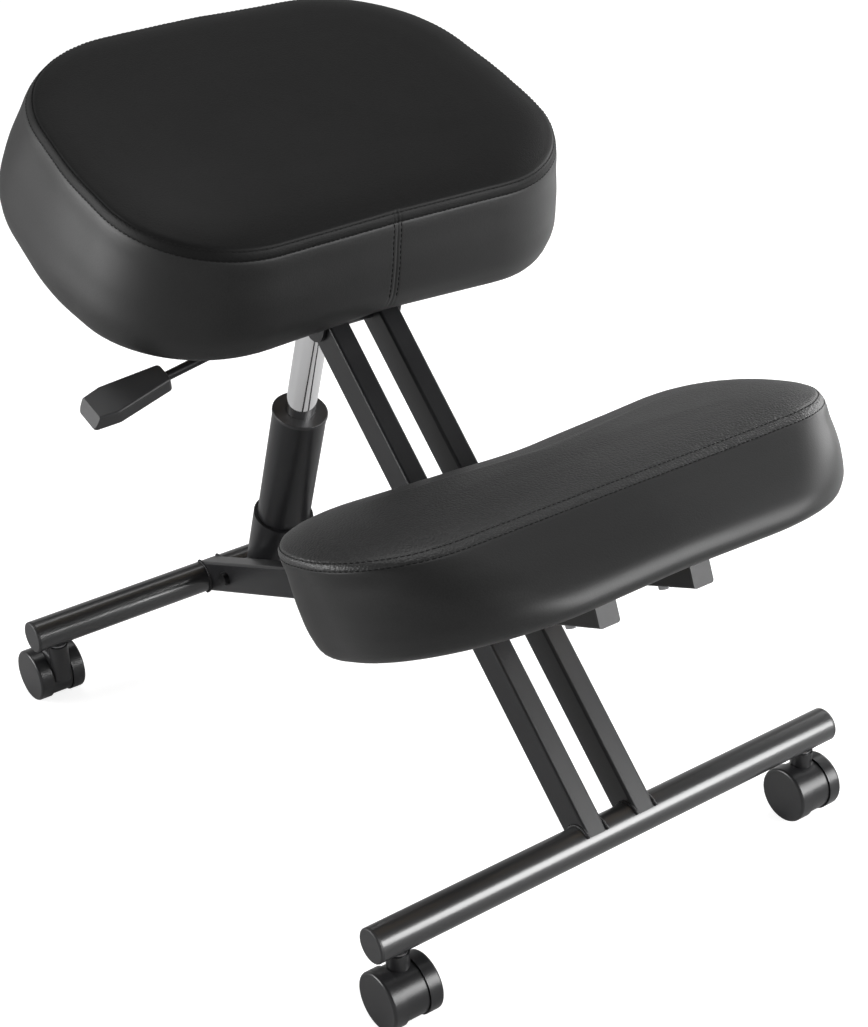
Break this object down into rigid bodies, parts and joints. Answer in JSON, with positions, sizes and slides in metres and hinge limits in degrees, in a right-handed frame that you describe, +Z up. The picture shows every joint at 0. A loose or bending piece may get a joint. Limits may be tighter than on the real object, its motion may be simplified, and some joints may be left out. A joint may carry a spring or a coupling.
{
  "type": "kneeling chair",
  "caption": "Kneeling chair: crossed steel beams on castored foot tubes, a gas lift under a tilted, boxed seat cushion, and a kidney-shaped knee pad.",
  "frame": {"origin": "on the floor, on the chair's centre plane, midway between the two foot tubes", "axes": "+Z up, the knee pad faces -Y, +X is the sitter's left-to-right width; the release lever is on -X"},
  "size_m": [0.4961, 0.6931, 0.6113],
  "materials": {
    "frame_black": "satin black powder coat",
    "chrome": "polished",
    "steel": "zinc plated",
    "plastic_black": "fine matt",
    "castor_plastic": "moulded nylon",
    "plywood": "plain birch ply",
    "upholstery": "fine pebbled black leatherette"
  },
  "bodies": {
    "rear_frame": {"rear_foot_tube": "frame_black", "rear_tube_caps": "plastic_black", "rear_castor_sockets": "plastic_black", "rear_castor_stems": "steel", "outer_beam_left": "frame_black", "outer_beam_right": "frame_black", "outer_beam_caps": "plastic_black", "scissor_bolt": "steel", "scissor_nut": "steel", "column_hinge_bolt": "steel", "column_hinge_nut": "steel", "knee_pad_board": "plywood", "knee_pad_cushion": "upholstery", "knee_pad_bolts": "steel"},
    "front_frame": {"front_foot_tube": "frame_black", "front_tube_caps": "plastic_black", "front_castor_sockets": "plastic_black", "front_castor_stems": "steel", "inner_beam_left": "frame_black", "inner_beam_right": "frame_black", "inner_beam_caps": "plastic_black", "scissor_bushes": "plastic_black", "scissor_spacer_tube": "frame_black", "seat_hinge_sleeve": "frame_black"},
    "column": {"column_hinge_sleeve": "frame_black", "column_cup": "frame_black", "column_tube": "frame_black", "column_guide_bush": "plastic_black", "piston_rod": "steel", "piston_clip": "steel"},
    "seat": {"gas_lift_cylinder": "chrome", "taper_socket": "frame_black", "seat_bracket": "frame_black", "seat_hinge_pin": "steel", "seat_hinge_nut": "steel", "seat_board": "plywood", "seat_cushion": "upholstery", "seat_screws": "steel", "lever_bush": "plastic_black"},
    "lever": {"lever_rod": "frame_black", "lever_paddle": "plastic_black"},
    "release_button": {"release_button": "steel"},
    "front_left_castor": {"front_left_castor_hood": "castor_plastic", "front_left_axle": "steel"},
    "front_left_outer_wheel": {"front_left_outer_wheel": "castor_plastic"},
    "front_left_inner_wheel": {"front_left_inner_wheel": "castor_plastic"},
    "front_right_castor": {"front_right_castor_hood": "castor_plastic", "front_right_axle": "steel"},
    "front_right_outer_wheel": {"front_right_outer_wheel": "castor_plastic"},
    "front_right_inner_wheel": {"front_right_inner_wheel": "castor_plastic"},
    "rear_left_castor": {"rear_left_castor_hood": "castor_plastic", "rear_left_axle": "steel"},
    "rear_left_outer_wheel": {"rear_left_outer_wheel": "castor_plastic"},
    "rear_left_inner_wheel": {"rear_left_inner_wheel": "castor_plastic"},
    "rear_left_brake": {"rear_left_brake_pedal": "castor_plastic"},
    "rear_right_castor": {"rear_right_castor_hood": "castor_plastic", "rear_right_axle": "steel"},
    "rear_right_outer_wheel": {"rear_right_outer_wheel": "castor_plastic"},
    "rear_right_inner_wheel": {"rear_right_inner_wheel": "castor_plastic"},
    "rear_right_brake": {"rear_right_brake_pedal": "castor_plastic"}
  },
  "joints": [
    {"name": "seat_height", "type": "slide", "parent": "column", "child": "seat", "axis": [0, -0.2915, 0.9566], "range_m": [-0.09, 0.01]},
    {"name": "column_tilt", "type": "hinge", "parent": "rear_frame", "child": "column", "pos_m": [0, 0.22901, 0.09791], "axis": [1, 0, 0], "range_deg": [-5.76, 0.66]},
    {"name": "frame_scissor", "type": "hinge", "parent": "rear_frame", "child": "front_frame", "pos_m": [0, -0.10208, 0.23709], "axis": [1, 0, 0], "range_deg": [-20.5, 2.3]},
    {"name": "lever_lift", "type": "hinge", "parent": "seat", "child": "lever", "pos_m": [-0.0383, 0.12523, 0.43845], "axis": [0, 0.9566, 0.2915], "range_deg": [0, 3.8], "stiffness_Nm_per_rad": 3, "springref_deg": -8.59},
    {"name": "button_press", "type": "slide", "parent": "seat", "child": "release_button", "axis": [0, 0.2915, -0.9566], "range_m": [0, 0.0028]},
    {"name": "front_left_swivel", "type": "hinge", "parent": "front_frame", "child": "front_left_castor", "pos_m": [-0.2178, -0.274, 0.057], "axis": [0, 0, 1], "continuous": true},
    {"name": "front_left_outer_wheel_spin", "type": "hinge", "parent": "front_left_castor", "child": "front_left_outer_wheel", "pos_m": [-0.2348, -0.278, 0.025], "axis": [1, 0, 0], "continuous": true},
    {"name": "front_left_inner_wheel_spin", "type": "hinge", "parent": "front_left_castor", "child": "front_left_inner_wheel", "pos_m": [-0.2008, -0.278, 0.025], "axis": [1, 0, 0], "continuous": true},
    {"name": "front_right_swivel", "type": "hinge", "parent": "front_frame", "child": "front_right_castor", "pos_m": [0.2178, -0.274, 0.057], "axis": [0, 0, 1], "continuous": true},
    {"name": "front_right_outer_wheel_spin", "type": "hinge", "parent": "front_right_castor", "child": "front_right_outer_wheel", "pos_m": [0.2348, -0.278, 0.025], "axis": [1, 0, 0], "continuous": true},
    {"name": "front_right_inner_wheel_spin", "type": "hinge", "parent": "front_right_castor", "child": "front_right_inner_wheel", "pos_m": [0.2008, -0.278, 0.025], "axis": [1, 0, 0], "continuous": true},
    {"name": "rear_left_swivel", "type": "hinge", "parent": "rear_frame", "child": "rear_left_castor", "pos_m": [-0.2178, 0.274, 0.057], "axis": [0, 0, 1], "continuous": true},
    {"name": "rear_left_outer_wheel_spin", "type": "hinge", "parent": "rear_left_castor", "child": "rear_left_outer_wheel", "pos_m": [-0.2348, 0.294, 0.025], "axis": [1, 0, 0], "continuous": true},
    {"name": "rear_left_inner_wheel_spin", "type": "hinge", "parent": "rear_left_castor", "child": "rear_left_inner_wheel", "pos_m": [-0.2008, 0.294, 0.025], "axis": [1, 0, 0], "continuous": true},
    {"name": "rear_left_brake_press", "type": "hinge", "parent": "rear_left_castor", "child": "rear_left_brake", "pos_m": [-0.2178, 0.2985, 0.0495], "axis": [1, 0, 0], "range_deg": [-14, 0]},
    {"name": "rear_right_swivel", "type": "hinge", "parent": "rear_frame", "child": "rear_right_castor", "pos_m": [0.2178, 0.274, 0.057], "axis": [0, 0, 1], "continuous": true},
    {"name": "rear_right_outer_wheel_spin", "type": "hinge", "parent": "rear_right_castor", "child": "rear_right_outer_wheel", "pos_m": [0.2348, 0.294, 0.025], "axis": [1, 0, 0], "continuous": true},
    {"name": "rear_right_inner_wheel_spin", "type": "hinge", "parent": "rear_right_castor", "child": "rear_right_inner_wheel", "pos_m": [0.2008, 0.294, 0.025], "axis": [1, 0, 0], "continuous": true},
    {"name": "rear_right_brake_press", "type": "hinge", "parent": "rear_right_castor", "child": "rear_right_brake", "pos_m": [0.2178, 0.2985, 0.0495], "axis": [1, 0, 0], "range_deg": [-14, 0]}
  ],
  "couplings": [
    {"joint": "column_tilt", "follows": "seat_height", "rad_per_m": 1.1131},
    {"joint": "frame_scissor", "follows": "seat_height", "rad_per_m": 3.9714},
    {"joint": "button_press", "follows": "lever_lift", "m_per_rad": 0.0418}
  ]
}
